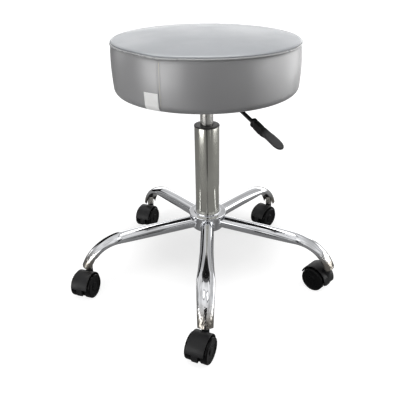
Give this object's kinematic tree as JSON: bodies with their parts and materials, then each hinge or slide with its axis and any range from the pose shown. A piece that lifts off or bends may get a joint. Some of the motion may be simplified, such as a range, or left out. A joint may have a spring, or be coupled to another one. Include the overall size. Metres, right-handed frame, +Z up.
{
  "type": "rolling stool",
  "caption": "round padded stool on a height-adjusting gas column, with a side release lever and a star-shaped chrome base on hooded swivel casters",
  "frame": {"origin": "on the floor, under the middle of the column", "axes": "+Z up along the column; -Y towards the front leg, to within about a degree; +X to its right seen from the front"},
  "size_m": [0.552, 0.5466, 0.5166],
  "materials": {
    "chrome": "polished chrome plate",
    "rod_chrome": "hard chrome",
    "sleeve_nickel": "dull nickel plate",
    "column_nickel": "satin nickel, slightly warm",
    "tube_nickel": "fine brushed nickel",
    "nut_zinc": "zinc plate",
    "bright_steel": "turned steel",
    "bearing_steel": "ground steel",
    "bush_black": "matt",
    "bump_rubber": "matt",
    "plate_black": "black powder coat",
    "lever_black": "black, semi-gloss",
    "grip_black": "fine grain",
    "hood_black": "matt, lightly grained",
    "wheel_black": "semi-gloss nylon",
    "plywood": "raw birch plywood",
    "foam": "open-cell foam",
    "vinyl_top": "soft sheen, fine grain",
    "vinyl_side": "soft sheen, fine grain",
    "vinyl_welt": "soft sheen",
    "cover_cloth": "spun-bond cloth",
    "tag_white": "woven, blank"
  },
  "bodies": {
    "base": {"hub": "chrome", "leg_front": "chrome", "leg_right": "chrome", "leg_back_right": "chrome", "leg_back_left": "chrome", "leg_left": "chrome", "stem_sleeves": "sleeve_nickel", "caster_stems": "bright_steel", "grip_rings": "bright_steel", "column_tube": "column_nickel", "guide_bush": "bush_black", "lower_race": "bearing_steel", "ball_cage": "bush_black", "bearing_balls": "bearing_steel"},
    "gas_rod": {"piston_rod": "rod_chrome", "piston": "bush_black", "upper_race": "bearing_steel", "bump_stop": "bump_rubber", "rod_clip": "bright_steel"},
    "seat": {"pressure_tube": "tube_nickel", "rod_guide": "bush_black", "valve_block": "bright_steel", "seat_plate": "plate_black", "plate_screws": "nut_zinc", "screw_washers": "nut_zinc", "tee_nuts": "nut_zinc", "lever_bracket": "plate_black", "lever_hinge_pin": "bright_steel", "seat_board": "plywood", "seat_foam": "foam", "top_panel": "vinyl_top", "side_band": "vinyl_side", "welt": "vinyl_welt", "dust_cover": "cover_cloth", "staples": "nut_zinc", "blank_tag": "tag_white"},
    "release_pin": {"release_pin": "rod_chrome"},
    "lever": {"lever_rod": "lever_black", "lever_grip": "grip_black"},
    "caster_front": {"hood_front": "hood_black", "axle_front": "bright_steel"},
    "wheel_front_near": {"wheel_front_near": "wheel_black"},
    "wheel_front_far": {"wheel_front_far": "wheel_black"},
    "caster_right": {"hood_right": "hood_black", "axle_right": "bright_steel"},
    "wheel_right_near": {"wheel_right_near": "wheel_black"},
    "wheel_right_far": {"wheel_right_far": "wheel_black"},
    "caster_back_right": {"hood_back_right": "hood_black", "axle_back_right": "bright_steel"},
    "wheel_back_right_near": {"wheel_back_right_near": "wheel_black"},
    "wheel_back_right_far": {"wheel_back_right_far": "wheel_black"},
    "caster_back_left": {"hood_back_left": "hood_black", "axle_back_left": "bright_steel"},
    "wheel_back_left_near": {"wheel_back_left_near": "wheel_black"},
    "wheel_back_left_far": {"wheel_back_left_far": "wheel_black"},
    "caster_left": {"hood_left": "hood_black", "axle_left": "bright_steel"},
    "wheel_left_near": {"wheel_left_near": "wheel_black"},
    "wheel_left_far": {"wheel_left_far": "wheel_black"}
  },
  "joints": [
    {"name": "seat_swivel", "type": "hinge", "parent": "base", "child": "gas_rod", "pos_m": [0, 0, 0.12], "axis": [0, 0, 1], "continuous": true},
    {"name": "seat_lift", "type": "slide", "parent": "gas_rod", "child": "seat", "axis": [0, 0, 1], "range_m": [0, 0.13]},
    {"name": "lever_lift", "type": "hinge", "parent": "seat", "child": "lever", "pos_m": [0.02756, -0.0441, 0.40415], "axis": [-0.848, -0.5299, 0], "range_deg": [0, 4.4], "stiffness_Nm_per_rad": 3, "springref_deg": -5.73},
    {"name": "pin_press", "type": "slide", "parent": "seat", "child": "release_pin", "axis": [0, 0, -1], "range_m": [0, 0.0041]},
    {"name": "swivel_front", "type": "hinge", "parent": "base", "child": "caster_front", "pos_m": [-0.00597, -0.26293, 0.05], "axis": [0, 0, 1], "continuous": true},
    {"name": "spin_front_near", "type": "hinge", "parent": "caster_front", "child": "wheel_front_near", "pos_m": [-0.01471, -0.28257, 0.025], "axis": [0.9135, -0.4067, 0], "continuous": true},
    {"name": "spin_front_far", "type": "hinge", "parent": "caster_front", "child": "wheel_front_far", "pos_m": [-0.01471, -0.28257, 0.025], "axis": [0.9135, -0.4067, 0], "continuous": true},
    {"name": "swivel_right", "type": "hinge", "parent": "base", "child": "caster_right", "pos_m": [0.24822, -0.08693, 0.05], "axis": [0, 0, 1], "continuous": true},
    {"name": "spin_right_near", "type": "hinge", "parent": "caster_right", "child": "wheel_right_near", "pos_m": [0.23302, -0.07172, 0.025], "axis": [-0.7071, -0.7071, 0], "continuous": true},
    {"name": "spin_right_far", "type": "hinge", "parent": "caster_right", "child": "wheel_right_far", "pos_m": [0.23302, -0.07172, 0.025], "axis": [-0.7071, -0.7071, 0], "continuous": true},
    {"name": "swivel_back_right", "type": "hinge", "parent": "base", "child": "caster_back_right", "pos_m": [0.15937, 0.20921, 0.05], "axis": [0, 0, 1], "continuous": true},
    {"name": "spin_back_right_near", "type": "hinge", "parent": "caster_back_right", "child": "wheel_back_right_near", "pos_m": [0.14471, 0.19349, 0.025], "axis": [0.7314, -0.682, 0], "continuous": true},
    {"name": "spin_back_right_far", "type": "hinge", "parent": "caster_back_right", "child": "wheel_back_right_far", "pos_m": [0.14471, 0.19349, 0.025], "axis": [0.7314, -0.682, 0], "continuous": true},
    {"name": "swivel_back_left", "type": "hinge", "parent": "base", "child": "caster_back_left", "pos_m": [-0.14972, 0.21622, 0.05], "axis": [0, 0, 1], "continuous": true},
    {"name": "spin_back_left_near", "type": "hinge", "parent": "caster_back_left", "child": "wheel_back_left_near", "pos_m": [-0.15777, 0.19629, 0.025], "axis": [0.9272, -0.3746, 0], "continuous": true},
    {"name": "spin_back_left_far", "type": "hinge", "parent": "caster_back_left", "child": "wheel_back_left_far", "pos_m": [-0.15777, 0.19629, 0.025], "axis": [0.9272, -0.3746, 0], "continuous": true},
    {"name": "swivel_left", "type": "hinge", "parent": "base", "child": "caster_left", "pos_m": [-0.25191, -0.07558, 0.05], "axis": [0, 0, 1], "continuous": true},
    {"name": "spin_left_near", "type": "hinge", "parent": "caster_left", "child": "wheel_left_near", "pos_m": [-0.25819, -0.09614, 0.025], "axis": [0.9563, -0.2924, 0], "continuous": true},
    {"name": "spin_left_far", "type": "hinge", "parent": "caster_left", "child": "wheel_left_far", "pos_m": [-0.25819, -0.09614, 0.025], "axis": [0.9563, -0.2924, 0], "continuous": true}
  ],
  "couplings": [
    {"joint": "pin_press", "follows": "lever_lift", "m_per_rad": 0.052}
  ]
}
